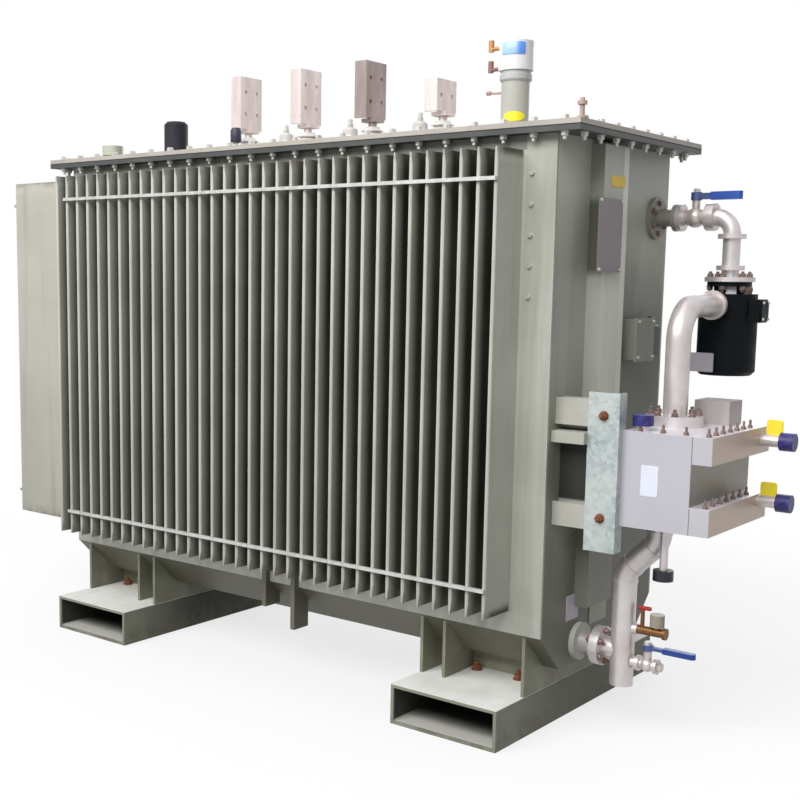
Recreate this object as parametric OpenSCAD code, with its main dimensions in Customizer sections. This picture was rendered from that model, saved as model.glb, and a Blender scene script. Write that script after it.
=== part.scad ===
// Oil-filled power transformer with a corrugated tank and a forced-oil water cooler on its end wall.
// Millimetres, +Z up, +X towards the cooler, -Y towards the front fin wall.

/* [Tank] */
// Length of the tank between its end walls
tank_l = 2350; // [2250:10:2650]
// Depth of the tank between its fin walls
tank_d = 850; // [800:10:1000]
// Height of the tank floor's underside above the ground
floor_z = 225; // [215:5:235]
// Height of the rim flange's underside above the ground
wall_top = 2004; // [1980:2:2200]
// Thickness of the tank's plates
plate_t = 10; // [6:1:14]
// Width of the plain strip between the last fin and the right corner
corner_w = 110; // [90:5:130]
// Width of the plain strip between the first fin and the left corner
left_corner_w = 60; // [50:5:90]
// Height of the sloping bilge along the foot of each long wall
bilge_h = 135; // [120:5:145]
// Height of the plain wall between the bilge and the fins
lower_wall_h = 75; // [60:5:110]
// Height of the plain wall between the fins and the rim
upper_wall_h = 47; // [30:1:70]

/* [Cover] */
// Overhang of the rim and cover past the end walls
rim_over_x = 100; // [80:5:130]
// Overhang of the rim and cover past the long walls
rim_over_y = 45; // [35:5:70]
// Thickness of the rim flange
rim_t = 16; // [10:1:20]
// Thickness of the gasket
gasket_t = 4; // [2:1:6]
// Thickness of the cover
cover_t = 16; // [10:1:20]

/* [Fins] */
// Spacing of the fins on every wall
fin_pitch = 65; // [60:1:80]
// Outer thickness of a fin
fin_t = 14; // [10:1:20]
// Thickness of the folded sheet
sheet_t = 3; // [2:0.5:4]
// Depth of the fins on the long walls
fin_d = 160; // [110:1:200]
// Depth of the fins on the left end wall
end_fin_d = 450; // [300:5:470]
// Height of the pinched zone at each end of a fin
pinch_h = 45; // [30:1:60]
// Thickness of a fin at its welded end
pinch_t = 5; // [4:0.5:8]
// Distance of the tie bars from the ends of the fins
tie_inset = 99; // [70:1:140]
// Side of the square tie bars
tie_s = 12; // [8:1:16]

/* [Skids and feet] */
// Width of a skid
skid_w = 425; // [380:5:460]
// Height of a skid
skid_h = 143; // [120:1:160]
// Length of a skid across the tank
skid_l = 1182; // [1150:2:1400]
// Wall of a skid
skid_wall = 12; // [8:1:16]
// Distance of a skid's outer side from the end wall
skid_inset = 60; // [40:5:90]
// Thickness of the feet's plates
foot_t = 12; // [8:1:16]
// Distance of a foot's front plate from the long wall
foot_setback = 205; // [160:5:240]

/* [End wall] */
// Width of the stiffening channel
stiff_w = 180; // [160:5:210]
// Distance of the stiffening channel's middle in front of the tank's middle plane
stiff_y = 105; // [95:5:120]
// Depth of the stiffening channel
stiff_d = 50; // [40:1:70]
// Width of the rating plate
plate_w = 170; // [140:5:190]
// Height of the rating plate
plate_h = 240; // [200:5:290]
// Height of the rating plate's centre
plate_z = 1692; // [1600:2:1720]
// Width of the sensor box
box_w = 130; // [110:5:160]
// Height of the sensor box
box_h = 140; // [120:5:190]

/* [Cooler] */
// Length of the cooler along the end wall
cooler_l = 490; // [440:5:500]
// Distance of the cooler's front face from the tank's middle plane
cooler_front = 350; // [330:5:360]
// Distance of the cooler's inner side from the end wall
cooler_gap = 225; // [215:5:235]
// Depth of the cooler's core
core_d = 231; // [215:1:250]
// How far the headers stand past the core
header_over = 64; // [50:1:80]
// Height of each header
header_h = 86; // [75:1:100]
// Height of the cooler's underside
cooler_z = 765; // [740:5:785]
// Overall height of the cooler
cooler_h = 308; // [290:2:330]
// Width of the cooler's post
post_w = 108; // [80:1:120]

/* [Pipes] */
// Outside diameter of the oil pipes
pipe_od = 80; // [70:1:86]
// Outside diameter of the suction pipe
suction_od = 60; // [50:1:64]
// Bend radius of the discharge elbow
bend_r = 115; // [100:1:125]
// Bend radius of the suction elbow
suction_bend_r = 60; // [55:1:66]
// Distance of the pump's axis from the end wall
pump_x = 290; // [280:1:300]
// Distance of the pump's axis behind the tank's middle plane
pump_y = 315; // [310:1:330]
// Height of the oil outlet on the end wall
outlet_z = 1770; // [1740:2:1800]
// Distance of the return pipe from the end wall
return_x = 170; // [165:1:180]
// Distance of the return pipe in front of the tank's middle plane
return_y = 160; // [155:1:175]
// Height of the return nozzle on the end wall
return_z = 300; // [296:2:330]
// Length of the valve levers
lever_l = 165; // [120:5:180]

/* [Pump] */
// Diameter of the pump's motor
motor_d = 200; // [195:1:215]
// Height of the pump's motor
motor_h = 205; // [180:5:230]
// Drop from the oil outlet to the pump's top flange
pump_drop = 225; // [210:5:260]

/* [Bushings and cover fittings] */
// Spacing of the low-voltage bushings
lv_pitch = 330; // [300:5:380]
// Width of a low-voltage flag
flag_w = 130; // [110:5:160]
// Height of a line flag
flag_h = 215; // [180:5:240]
// Height of the neutral flag
neutral_h = 118; // [90:1:130]
// Thickness of a flag's legs
flag_t = 14; // [10:1:20]
// Radius of a flag's holes
flag_hole_r = 8; // [6:0.5:10]
// Spacing of a line flag's holes across the flag
flag_hole_y = 70; // [50:5:80]
// Spacing of a line flag's holes up the flag
flag_hole_z = 90; // [60:5:110]
// Height of a low-voltage insulator
lv_h = 92; // [80:1:120]
// Spacing of the high-voltage bushings
hv_pitch = 358; // [330:2:400]
// Height of a high-voltage bushing
hv_h = 135; // [110:5:160]
// Diameter of the protection relay's column
relay_d = 100; // [80:1:110]
// Diameter of the protection relay's head
relay_head_d = 120; // [112:1:135]

/* [Hidden] */
$fn = 48;

paint = [0.66, 0.67, 0.62];
shaded_paint = [0.45, 0.46, 0.42];
galvanised = [0.70, 0.74, 0.74];
stainless = [0.80, 0.79, 0.80];
tinned = [0.74, 0.68, 0.66];
dark_epoxy = [0.22, 0.20, 0.25];
pump_black = [0.08, 0.10, 0.12];
lever_blue = [0.16, 0.33, 0.70];
cap_indigo = [0.15, 0.13, 0.42];
brass = [0.62, 0.42, 0.20];
white_paint = [0.90, 0.90, 0.90];

half_l = tank_l / 2;
half_d = tank_d / 2;
bilge_z = floor_z + bilge_h;
fin_z0 = bilge_z + lower_wall_h;
fin_z1 = wall_top - upper_wall_h;
fin_h = fin_z1 - fin_z0;
fin_x0 = -half_l + left_corner_w;
fin_x1 = half_l - corner_w;
fin_zone_x = (fin_x1 - fin_x0) / 2;
fin_mid_x = (fin_x0 + fin_x1) / 2;
end_post_w = 20;
fin_zone_y = half_d - end_post_w;
tie_z = [fin_z0 + tie_inset, fin_z1 - tie_inset];
cover_z = wall_top + rim_t + gasket_t;
cover_top = cover_z + cover_t;

cooler_x0 = half_l + cooler_gap;
cooler_x1 = cooler_x0 + core_d;
header_x1 = cooler_x1 + header_over;
cooler_y0 = -cooler_front;
cooler_y1 = cooler_y0 + cooler_l;
cooler_z1 = cooler_z + cooler_h;
port_len = 62;
port_r = 20;
port_cap_len = 46;
port_cap_r = 30;
port_inset = 70;

// The origin is under the middle of the whole object's box
x_min = -half_l - end_fin_d - tie_s;
x_max = header_x1 + port_len + port_cap_len;
centre_x = (x_min + x_max) / 2;

pump_cx = half_l + pump_x;
return_cx = half_l + return_x;
outlet_flange_r = 75;
flange_t = 16;
union_r = 48;
valve_r = 36;
valve_inset = 95;
valve_x0 = half_l + valve_inset;
elbow_x0 = pump_cx - suction_bend_r;
valve_x1 = elbow_x0 - flange_t;
valve_cx = (valve_x0 + valve_x1) / 2;
stem_r = 8;
stem_gap = 0.3;
lever_hub_r = 19;
lever_lift = 12;
lever_t = 18;
outlet_lever_t = 28;
lever_w = 26;

discharge_y = -100;
volute_h = 120;
volute_z = outlet_z - pump_drop;
volute_z0 = volute_z - volute_h;
stub_r = 38;
discharge_z = volute_z0 + stub_r + 2;
motor_z = volute_z0 - motor_h;

skid_x1 = half_l - skid_inset;
skid_x0 = skid_x1 - skid_w;
rib_inset = 95;
lug_x = [-42, 105];
lug_z0 = [262, 195];
lug_t = 20;
lug_in = 60;
lug_out = 24;
lug_gap = 12;
boss_t = 20;
boss_r = 66;

module block(lo, hi) {
    translate(lo) cube(hi - lo);
}

module rod_x(x0, x1, y, z, r) {
    translate([x0, y, z]) rotate([0, 90, 0]) cylinder(h = x1 - x0, r = r);
}

module rod_y(y0, y1, x, z, r) {
    translate([x, y0, z]) rotate([-90, 0, 0]) cylinder(h = y1 - y0, r = r);
}

module rod_z(z0, z1, x, y, r) {
    translate([x, y, z0]) cylinder(h = z1 - z0, r = r);
}

module in_frame() {
    translate([-centre_x, 0, 0]) children();
}

module skid(x0) {
    lo = [x0, -skid_l / 2, 0];
    difference() {
        block(lo, lo + [skid_w, skid_l, skid_h]);
        block(lo + [skid_wall, -1, skid_wall], lo + [skid_w - skid_wall, skid_l + 1, skid_h - skid_wall]);
    }
}

module skid_left() {
    color(paint) in_frame() skid(-skid_x1);
}

module skid_right() {
    color(paint) in_frame() skid(skid_x0);
}

// A prism along X from an outline in the YZ plane
module along_x(x0, x1, outline) {
    translate([x0, 0, 0]) rotate([90, 0, 90]) linear_extrude(x1 - x0) polygon(outline);
}

// Outline of the tank's foot: its flat bottom and the two bilges, up to y and z1
function end_outline(y, z1) = [
    [-y, z1], [-y, bilge_z], [-half_d, bilge_z], [-half_d + bilge_h, floor_z],
    [half_d - bilge_h, floor_z], [half_d, bilge_z], [y, bilge_z], [y, z1]
];

// A foot is a welded trough under the bilges: front and back plates, and ribs that reach out as gussets
module foot(x0, rib_x) {
    plate_y = half_d - foot_setback;
    side_y = half_d - plate_t;
    difference() {
        union() {
            for (y = [-plate_y, plate_y - foot_t])
                block([x0, y, skid_h], [x0 + skid_w, y + foot_t, bilge_z]);
            for (x = [x0, rib_x, x0 + skid_w - foot_t])
                block([x, -side_y, skid_h], [x + foot_t, side_y, bilge_z]);
        }
        along_x(x0 - 1, x0 + skid_w + 1, end_outline(half_d, bilge_z + plate_t));
    }
}

module foot_left() {
    color(paint) in_frame() foot(-skid_x1, -skid_x0 - rib_inset - foot_t);
}

module foot_right() {
    color(paint) in_frame() foot(skid_x0, skid_x0 + rib_inset);
}

// Towing lug: two ribs that stand on the bilge and the wall above it
module towing_lug() {
    back_y = -half_d + lug_in;
    front_y = -half_d - lug_out;
    top_z = fin_z0 - lug_gap;
    for (i = [0, 1])
        along_x(lug_x[i], lug_x[i] + lug_t, [
            [-half_d, top_z], [front_y, top_z - lug_out], [front_y, lug_z0[i]],
            [back_y, lug_z0[i]], [back_y, bilge_z - lug_in], [-half_d, bilge_z]
        ]);
}

// Floor plate folded up into a bilge along each long wall, with a towing lug at the middle of each side
module tank_floor() {
    fold = plate_t * sqrt(2);
    inner_y = half_d - fold - bilge_h + plate_t;
    color(shaded_paint) in_frame() {
        along_x(-half_l + plate_t, half_l - plate_t, [
            [-half_d, bilge_z], [-half_d + bilge_h, floor_z], [half_d - bilge_h, floor_z], [half_d, bilge_z],
            [half_d - fold, bilge_z], [inner_y, floor_z + plate_t], [-inner_y, floor_z + plate_t],
            [-half_d + fold, bilge_z]
        ]);
        towing_lug();
        mirror([0, 1, 0]) towing_lug();
    }
}

// Plain strips of wall on the front and the back
module long_strips(z0, z1) {
    for (y = [-half_d, half_d - plate_t])
        block([fin_x0, y, z0], [fin_x1, y + plate_t, z1]);
}

module lower_walls() {
    color(paint) in_frame() {
        long_strips(bilge_z, fin_z0);
        along_x(-half_l, -half_l + plate_t, end_outline(fin_zone_y, fin_z0));
    }
}

module upper_walls() {
    color(paint) in_frame() {
        long_strips(fin_z1, wall_top);
        block([-half_l, -fin_zone_y, fin_z1], [-half_l + plate_t, fin_zone_y, wall_top]);
    }
}

module corner_posts() {
    color(paint) in_frame() for (s = [-1, 1]) {
        y0 = s > 0 ? half_d - plate_t : -half_d;
        block([fin_x1, y0, bilge_z], [half_l, y0 + plate_t, wall_top]);
        block([-half_l, y0, bilge_z], [fin_x0, y0 + plate_t, wall_top]);
        leg_y = s > 0 ? fin_zone_y : -half_d + plate_t;
        block([-half_l, leg_y, bilge_z], [-half_l + plate_t, leg_y + end_post_w - plate_t, wall_top]);
    }
}

// End wall with a round boss for the return nozzle
module right_end_wall() {
    color(paint) in_frame() {
        along_x(half_l - plate_t, half_l, end_outline(half_d - plate_t, wall_top));
        rod_x(half_l, half_l + boss_t, -return_y, return_z, boss_r);
    }
}

// Side view of a fin, as thick as w and pinched to e at its welded ends
function pinched(w, e, z0, z1) = [
    [-w / 2, z0 + pinch_h], [-e / 2, z0], [e / 2, z0], [w / 2, z0 + pinch_h],
    [w / 2, z1 - pinch_h], [e / 2, z1], [-e / 2, z1], [-w / 2, z1 - pinch_h]
];

module pinched_slab(w, e, z0, z1, depth) {
    rotate([90, 0, 0]) linear_extrude(depth) polygon(pinched(w, e, z0, z1));
}

// One hollow fin standing out along -Y from the plane y = 0, its nose folded round
module fin(depth) {
    nose_r = fin_t / 2;
    intersection() {
        pinched_slab(fin_t, pinch_t, fin_z0, fin_z1, depth);
        union() {
            translate([-nose_r, nose_r - depth, fin_z0]) cube([fin_t, depth - nose_r, fin_h]);
            translate([0, nose_r - depth, fin_z0]) cylinder(h = fin_h, r = nose_r);
        }
    }
}

// The oil space inside a fin, open through the root sheet
module fin_cavity(depth) {
    cavity_w = fin_t - 2 * sheet_t;
    translate([0, sheet_t + 1, 0])
        pinched_slab(cavity_w, pinch_t / 4, fin_z0 + 2 * sheet_t, fin_z1 - 2 * sheet_t, depth + 1 - fin_t / 2);
}

// Places of the fins along a wall, counted from the middle of its zone
function fin_count(zone) = floor((2 * zone - fin_t) / fin_pitch) + 1;
function fin_end(zone) = (fin_count(zone) - 1) / 2 * fin_pitch;

// A folded wall of fins: root sheet behind the plane y = 0, fins in front of it
module fin_wall(zone, depth) {
    places = [for (i = [0 : fin_count(zone) - 1]) i * fin_pitch - fin_end(zone)];
    difference() {
        union() {
            translate([-zone, 0, fin_z0]) cube([2 * zone, sheet_t, fin_h]);
            for (x = places) translate([x, 0, 0]) fin(depth);
        }
        for (x = places) translate([x, 0, 0]) fin_cavity(depth);
    }
}

module front_fin_wall() {
    color(paint) in_frame() translate([fin_mid_x, -half_d, 0]) fin_wall(fin_zone_x, fin_d);
}

module back_fin_wall() {
    color(paint) in_frame() translate([fin_mid_x, half_d, 0]) rotate([0, 0, 180]) fin_wall(fin_zone_x, fin_d);
}

module left_fin_wall() {
    color(paint) in_frame() translate([-half_l, 0, 0]) rotate([0, 0, -90]) fin_wall(fin_zone_y, end_fin_d);
}

// Square bars across the noses of the fins; on the long walls they start at the second fin from the left
module fin_tie_bars() {
    x1 = fin_mid_x + fin_end(fin_zone_x) + fin_t / 2;
    x0 = fin_mid_x - fin_end(fin_zone_x) + fin_pitch - fin_t / 2;
    end_y = fin_end(fin_zone_y) + fin_t / 2;
    color(galvanised) in_frame() for (z = tie_z) {
        for (y = [-half_d - fin_d - tie_s, half_d + fin_d])
            block([x0, y, z - tie_s / 2], [x1, y + tie_s, z + tie_s / 2]);
        block([x_min, -end_y, z - tie_s / 2], [x_min + tie_s, end_y, z + tie_s / 2]);
    }
}

// A frame as large as the cover and open over the tank
module rim_ring(z0, z1) {
    over = [half_l + rim_over_x, half_d + rim_over_y, 0];
    inner = [half_l - plate_t, half_d - plate_t, 0];
    difference() {
        block([-over.x, -over.y, z0], [over.x, over.y, z1]);
        block([-inner.x, -inner.y, z0 - 1], [inner.x, inner.y, z1 + 1]);
    }
}

module tank_rim() {
    color(paint) in_frame() rim_ring(wall_top, wall_top + rim_t);
}

module cover_gasket() {
    color(pump_black) in_frame() rim_ring(wall_top + rim_t, cover_z);
}

module cover() {
    over_x = half_l + rim_over_x;
    over_y = half_d + rim_over_y;
    color(paint) in_frame()
        block([-over_x, -over_y, cover_z], [over_x, over_y, cover_top]);
}

stiff_z0 = return_z + 130;
stiff_z1 = wall_top - 16;
stiff_t = 8;

// Channel with its web outwards and its two flanges on the wall
module end_stiffener() {
    lo = [half_l, -stiff_y - stiff_w / 2, stiff_z0];
    hi = [half_l + stiff_d, -stiff_y + stiff_w / 2, stiff_z1];
    color(paint) in_frame() difference() {
        block(lo, hi);
        block(lo + [-1, stiff_t, -1], hi + [-stiff_t, -stiff_t, 1]);
    }
}

standoff_len = 14;
standoff_r = 8;
rating_t = 3;
rating_shift = 65;
rating_y = -stiff_y - rating_shift;

module rating_plate() {
    x0 = half_l + stiff_d;
    lo = [x0 + standoff_len, rating_y - plate_w / 2, plate_z - plate_h / 2];
    color(stainless) in_frame() {
        block(lo, lo + [rating_t, plate_w, plate_h]);
        for (z = [-1, 1]) for (y = [rating_y, rating_y + plate_w / 3])
            rod_x(x0, x0 + standoff_len, y, plate_z + z * plate_h / 3, standoff_r);
    }
}

box_d = 62;
box_gap = 80;
box_y0 = -stiff_y + stiff_w / 2 + box_gap;
box_z0 = 1270;

module sensor_box() {
    lo = [half_l, box_y0, box_z0];
    lid_over = 6;
    lid_t = 8;
    color(paint) in_frame() {
        block(lo, lo + [box_d, box_w, box_h]);
        block(lo + [box_d, -lid_over, -lid_over], lo + [box_d + lid_t, box_w + lid_over, box_h + lid_over]);
    }
}

post_d = 50;
post_t = 6;
post_x1 = cooler_x0;
post_x0 = post_x1 - post_w;
post_y0 = cooler_y0 - post_d + 25;
post_z0 = cooler_z - 90;
arm_t = 8;
arm_y0 = post_y0;
arm_y1 = post_y0 + post_d;
low_arm_z = [cooler_z - 22, cooler_z + 57];
bar_z = [cooler_z1 - 52, cooler_z1 - 14];
bar_out = 24;
top_arm_z = [cooler_z1 + 6, cooler_z1 + 94];
post_z1 = top_arm_z[1] + 24;

// Welded bracket from the end wall to the cooler's post: a back plate, an angle arm at each end, a bar between
module bracket_arms() {
    color(paint) in_frame() {
        block([half_l, arm_y1 - arm_t, low_arm_z[0]], [post_x0, arm_y1, top_arm_z[1]]);
        for (z = [low_arm_z, top_arm_z]) {
            block([half_l, arm_y0, z[0]], [post_x0, arm_y0 + arm_t, z[1]]);
            block([half_l, arm_y0 + arm_t, z[0]], [post_x0, arm_y1 - arm_t, z[0] + arm_t]);
        }
        block([half_l, arm_y0 - bar_out, bar_z[0]], [post_x0, arm_y1 - arm_t, bar_z[1]]);
    }
}

// Channel post, its web to the front and its flanges against the arms and the cooler
module cooler_post() {
    lo = [post_x0, post_y0, post_z0];
    hi = [post_x1, post_y0 + post_d, post_z1];
    color(galvanised) in_frame() difference() {
        block(lo, hi);
        block(lo + [post_t, post_t, -1], hi + [-post_t, 1, 1]);
    }
}

// Core with a header above and below it, both standing out past the core
module cooler_body() {
    color(stainless) in_frame() translate([0, cooler_y1, 0]) rotate([90, 0, 0]) linear_extrude(cooler_l)
        polygon([
            [cooler_x0, cooler_z], [header_x1, cooler_z], [header_x1, cooler_z + header_h],
            [cooler_x1, cooler_z + header_h], [cooler_x1, cooler_z1 - header_h],
            [header_x1, cooler_z1 - header_h], [header_x1, cooler_z1], [cooler_x0, cooler_z1]
        ]);
}

nozzle_flange_r = 92;
nozzle_t = 18;
return_drop_x = cooler_x0 + 60;
port_edge = 3;
port_z = [cooler_z + header_h - port_r - port_edge, cooler_z1 - header_h / 2];
port_y = cooler_y1 - port_inset;
vent_x = cooler_x0 + 48;
vent_y = cooler_y0 + 45;
vent_r = 22;
vent_h = 16;
bleed_x = cooler_x0 + 107;
bleed_y = cooler_y0 + 120;
bleed_r = 13;
bleed_drop = 150;

// Oil flanges above and below the cooler, the two water stubs, and the vent and bleed stubs
module cooler_nozzles() {
    color(stainless) in_frame() {
        rod_z(cooler_z1, cooler_z1 + nozzle_t, pump_cx, discharge_y, nozzle_flange_r);
        rod_z(cooler_z - nozzle_t, cooler_z, return_drop_x, -return_y, nozzle_flange_r - 34);
        for (z = port_z) rod_x(header_x1, header_x1 + port_len, port_y, z, port_r);
        rod_z(cooler_z1, cooler_z1 + vent_h, vent_x, vent_y, vent_r);
        rod_z(cooler_z - bleed_drop, cooler_z, bleed_x, bleed_y, bleed_r);
    }
}

cap_h = 34;
cap_r = 33;

module port_caps() {
    color(cap_indigo) in_frame() {
        for (z = port_z) rod_x(header_x1 + port_len, x_max, port_y, z, port_cap_r);
        rod_z(cooler_z1 + vent_h, cooler_z1 + vent_h + cap_h, vent_x, vent_y, cap_r);
        rod_z(cooler_z - bleed_drop - cap_h, cooler_z - bleed_drop, bleed_x, bleed_y, cap_r);
    }
}

monitor_size = [120, 110, 80];
monitor_x = 90;
monitor_y = 20;

module leak_monitor() {
    lo = [header_x1 - monitor_size.x - monitor_x, cooler_y1 - monitor_size.y - monitor_y, cooler_z1];
    color(stainless) in_frame() block(lo, lo + monitor_size);
}

module outlet_nozzle() {
    color(paint) in_frame() {
        rod_x(half_l, half_l + flange_t, pump_y, outlet_z, outlet_flange_r);
        rod_x(half_l + flange_t, valve_x0 - flange_t, pump_y, outlet_z, suction_od / 2);
        rod_x(valve_x0 - flange_t, valve_x0, pump_y, outlet_z, union_r);
    }
}

lever_z0 = outlet_z + union_r + lever_lift;
shoulder_r = stem_r + 6;
nut_h = 13;
nut_gap = 0.5;

// Ball valve along X with its stem upwards, a shoulder under the lever's hub and a nut over it
module ball_valve(x0, x1, y, z, body_r, end_r, end_t, hub_z, hub_t) {
    cx = (x0 + x1) / 2;
    rod_x(x0, x0 + end_t, y, z, end_r);
    rod_x(x1 - end_t, x1, y, z, end_r);
    rod_x(x0 + end_t, x1 - end_t, y, z, body_r - 8);
    translate([cx, y, z]) sphere(r = body_r);
    rod_z(z, hub_z - nut_gap, cx, y, shoulder_r);
    rod_z(z, hub_z + hub_t + nut_h + nut_gap, cx, y, stem_r);
    translate([cx, y, hub_z + hub_t + nut_gap]) cylinder(h = nut_h - 3, r = shoulder_r, $fn = 6);
}

module outlet_valve() {
    color(stainless) in_frame()
        ball_valve(valve_x0, valve_x1, pump_y, outlet_z,
                   valve_r, union_r, flange_t, lever_z0, outlet_lever_t);
}

// Flat lever with a round hub on the stem and a thicker grip along its outer two thirds
module lever(cx, y, z0, hub_t) {
    grip_x = cx + lever_l / 3;
    end_x = cx + lever_l - lever_w / 2;
    shank_w = lever_w - 8;
    difference() {
        union() {
            rod_z(z0, z0 + hub_t, cx, y, lever_hub_r);
            block([cx, y - shank_w / 2, z0 + 3], [grip_x, y + shank_w / 2, z0 + hub_t - 3]);
            block([grip_x, y - lever_w / 2, z0], [end_x, y + lever_w / 2, z0 + hub_t]);
            rod_z(z0, z0 + hub_t, end_x, y, lever_w / 2);
        }
        rod_z(z0 - 1, z0 + hub_t + 1, cx, y, stem_r + stem_gap);
    }
}

module outlet_lever() {
    color(lever_blue) in_frame() lever(valve_cx, pump_y, lever_z0, outlet_lever_t);
}

// Quarter bend from +X to -Z: starts at the point given, its pipe of radius r on a bend of radius bend
module bend_down(x, y, z, bend, r) {
    translate([x, y, z - bend]) rotate([90, 0, 0]) rotate_extrude(angle = 90) translate([bend, 0]) circle(r);
}

spool_top = outlet_z - suction_bend_r;
spool_mid = volute_z + 48;

module suction_pipe() {
    color(stainless) in_frame() {
        rod_x(valve_x1, elbow_x0, pump_y, outlet_z, union_r);
        bend_down(elbow_x0, pump_y, outlet_z, suction_bend_r, suction_od / 2);
        rod_z(volute_z, spool_top, pump_cx, pump_y, suction_od / 2);
        rod_z(spool_top - flange_t, spool_top, pump_cx, pump_y, union_r);
        rod_z(spool_mid - flange_t / 2, spool_mid + flange_t / 2, pump_cx, pump_y, union_r);
        rod_z(volute_z, volute_z + flange_t, pump_cx, pump_y, outlet_flange_r + 10);
    }
}

volute_r = 97;
volute_body_h = 78;
volute_neck_r = 52;
discharge_flange_r = 50;
discharge_flange_y = pump_y - volute_r - 42;

module pump_volute() {
    color(pump_black) in_frame() {
        rod_z(volute_z - flange_t, volute_z, pump_cx, pump_y, outlet_flange_r);
        rod_z(volute_z0 + volute_body_h, volute_z - flange_t, pump_cx, pump_y, volute_neck_r);
        rod_z(volute_z0, volute_z0 + volute_body_h, pump_cx, pump_y, volute_r);
        rod_y(discharge_flange_y + flange_t, pump_y, pump_cx, discharge_z, stub_r);
        rod_y(discharge_flange_y, discharge_flange_y + flange_t, pump_cx, discharge_z, discharge_flange_r);
    }
}

module pump_motor() {
    end_bell_h = 14;
    color(pump_black) in_frame() {
        rod_z(motor_z + end_bell_h, volute_z0, pump_cx, pump_y, motor_d / 2);
        translate([pump_cx, pump_y, motor_z])
            cylinder(h = end_bell_h, r1 = motor_d / 2 - end_bell_h, r2 = motor_d / 2);
    }
}

terminal_size = [127, 75, 80];
terminal_y = 45;
terminal_drop = 19;

// Box on the motor's outer side, hollowed to sit on its round shell
module pump_terminal_box() {
    lo = [pump_cx, pump_y - terminal_y, volute_z0 - terminal_drop];
    color(pump_black) in_frame() difference() {
        block(lo, lo + terminal_size);
        rod_z(motor_z, volute_z, pump_cx, pump_y, motor_d / 2);
    }
}

module discharge_pipe() {
    r = pipe_od / 2;
    color(stainless) in_frame() {
        rod_y(discharge_flange_y - flange_t, discharge_flange_y, pump_cx, discharge_z, discharge_flange_r);
        rod_y(discharge_y + bend_r, discharge_flange_y - flange_t, pump_cx, discharge_z, r);
        translate([pump_cx, discharge_y + bend_r, discharge_z - bend_r]) rotate([90, 0, -90])
            rotate_extrude(angle = 90) translate([bend_r, 0]) circle(r);
        rod_z(cooler_z1 + 2 * nozzle_t, discharge_z - bend_r, pump_cx, discharge_y, r);
        rod_z(cooler_z1 + nozzle_t, cooler_z1 + 2 * nozzle_t, pump_cx, discharge_y, nozzle_flange_r);
    }
}

// The return pipe drops from the cooler, steps over towards the tank in two eighth bends, and drops again
return_r = pipe_od / 2;
step_r = 80;
step_x = return_drop_x - return_cx;
step_angle = 45;
weld_lap = 1.5;
weld_h = 10;
weld_rise = 2.5;
step_arc_x = step_r * (1 - cos(step_angle));
step_run = (step_x - 2 * step_arc_x) / sin(step_angle);
step_z0 = cooler_z - nozzle_t - 24;
step_z1 = step_z0 - 2 * step_r * sin(step_angle) - step_run * cos(step_angle);
return_z0 = 180;
return_flange_r = 67;
branch_r = 18;
branch_x = return_cx + return_r + 14;
drain_drop = 34;
drain_lift = 24;
sample_rise = 82;
drain_z = return_z - drain_drop;
sample_z = return_z + sample_rise;

// An eighth bend in the XZ plane about a centre, run a little past both ends so that the welds cover its joints
module eighth_bend(cx, z, start) {
    translate([cx, -return_y, z]) rotate([90, 0, 0]) rotate([0, 0, start - weld_lap])
        rotate_extrude(angle = step_angle + 2 * weld_lap) translate([step_r, 0]) circle(return_r);
}

module weld_collar(z) {
    translate([0, 0, z - weld_h / 2]) cylinder(h = weld_h, r = return_r + weld_rise);
}

module return_pipe() {
    mid_top = [return_drop_x - step_arc_x, -return_y, step_z0 - step_r * sin(step_angle)];
    color(stainless) in_frame() {
        rod_z(step_z0, cooler_z - nozzle_t, return_drop_x, -return_y, return_r);
        translate([return_drop_x, -return_y, 0]) weld_collar(step_z0);
        eighth_bend(return_drop_x - step_r, step_z0, -step_angle);
        translate(mid_top) rotate([0, 180 + step_angle, 0]) {
            cylinder(h = step_run, r = return_r);
            weld_collar(0);
            weld_collar(step_run);
        }
        eighth_bend(return_cx + step_r, step_z1, 180 - step_angle);
        translate([return_cx, -return_y, 0]) weld_collar(step_z1);
        rod_z(return_z0, step_z1, return_cx, -return_y, return_r);
        rod_x(return_flange_x, return_cx, -return_y, return_z, return_r - 4);
        rod_x(return_flange_x, return_flange_x + flange_t, -return_y, return_z, return_flange_r);
        for (z = [drain_z, sample_z]) rod_x(return_cx, branch_x, -return_y, z, branch_r);
    }
}

return_flange_x = half_l + 90;

module return_nozzle() {
    color(stainless) in_frame() {
        rod_x(half_l + boss_t, return_flange_x - flange_t, -return_y, return_z, return_r - 4);
        rod_x(return_flange_x - flange_t, return_flange_x, -return_y, return_z, return_flange_r);
    }
}

drain_end_t = 12;
drain_body_r = 24;
drain_end_r = 26;
drain_x1 = branch_x + 76;
drain_cx = (branch_x + drain_x1) / 2;
drain_lever_z = drain_z + drain_end_r + drain_lift;
plug_len = 14;
plug_r = 16;

module drain_valve() {
    color(stainless) in_frame() {
        ball_valve(branch_x, drain_x1, -return_y, drain_z,
                   drain_body_r, drain_end_r, drain_end_t, drain_lever_z, lever_t);
        translate([drain_x1, -return_y, drain_z]) rotate([0, 90, 0])
            cylinder(h = plug_len, r = plug_r, $fn = 6);
    }
}

module drain_lever() {
    color(lever_blue) in_frame() lever(drain_cx, -return_y, drain_lever_z, lever_t);
}

sample_len = 90;
sample_body_r = 15;
sample_nut_r = 20;
sample_nut_len = 10;
handle_x = 14;
handle_h = 76;
handle_r = 7;
handle_len = 42;
mouth_x = 66;
mouth_r = 12;
mouth_h = 20;
mouth_cap_r = 24;
mouth_cap_h = 42;

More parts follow.
